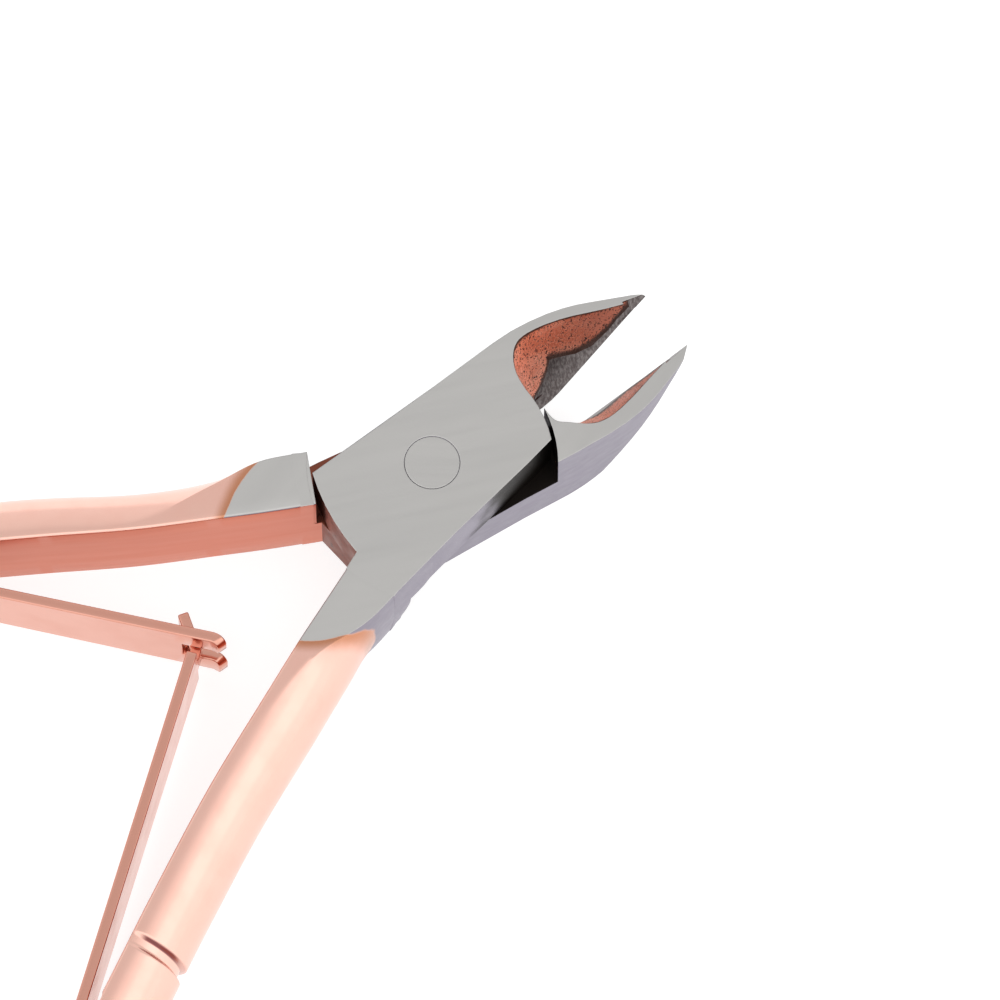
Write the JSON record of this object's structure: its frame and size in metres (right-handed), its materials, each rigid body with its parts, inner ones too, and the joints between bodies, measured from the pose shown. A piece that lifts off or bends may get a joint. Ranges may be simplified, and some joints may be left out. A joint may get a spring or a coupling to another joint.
{
  "type": "cuticle nipper",
  "caption": "Cuticle nipper with crossed lap-jointed levers, hollow-ground jaws, bowed handles and two interlocking leaf springs.",
  "frame": {"origin": "on the pivot rivet's axis, on the flat back that the nipper lies on", "axes": "+X along the tool towards the tips, +Y towards the front lever's jaw, +Z along the rivet towards the hollow-ground side"},
  "size_m": [0.1037, 0.0636, 0.0062],
  "materials": {
    "front_lever_steel": "rose gold plated handle, satin ground steel head",
    "back_lever_steel": "rose gold plated handle, satin ground steel head",
    "rivet_steel": "satin ground flush",
    "spring_plating": "polished rose gold plating"
  },
  "bodies": {
    "back_lever": {"back_lever": "back_lever_steel", "pivot_rivet": "rivet_steel", "fork_spring_rivet": "spring_plating"},
    "front_lever": {"front_lever": "front_lever_steel", "tongue_spring_rivet": "spring_plating"},
    "fork_leaf": {"fork_leaf_spring": "spring_plating"},
    "tongue_leaf": {"tongue_leaf_spring": "spring_plating"}
  },
  "joints": [
    {"name": "main_pivot", "type": "hinge", "parent": "back_lever", "child": "front_lever", "pos_m": [0, 0, 0.0031], "axis": [0, 0, -1], "range_deg": [0, 13.2], "stiffness_Nm_per_rad": 1.5},
    {"name": "fork_flex", "type": "hinge", "parent": "back_lever", "child": "fork_leaf", "pos_m": [-0.02917, 0.01349, 0.0031], "axis": [0, 0, 1], "range_deg": [0, 6], "deforming": ["fork_leaf_spring"]},
    {"name": "tongue_flex", "type": "hinge", "parent": "front_lever", "child": "tongue_leaf", "pos_m": [-0.03539, -0.01696, 0.0031], "axis": [0, 0, -1], "range_deg": [0, 6.2], "deforming": ["tongue_leaf_spring"]}
  ],
  "couplings": [
    {"joint": "fork_flex", "follows": "main_pivot", "ratio": 0.42},
    {"joint": "tongue_flex", "follows": "main_pivot", "ratio": 0.443}
  ]
}
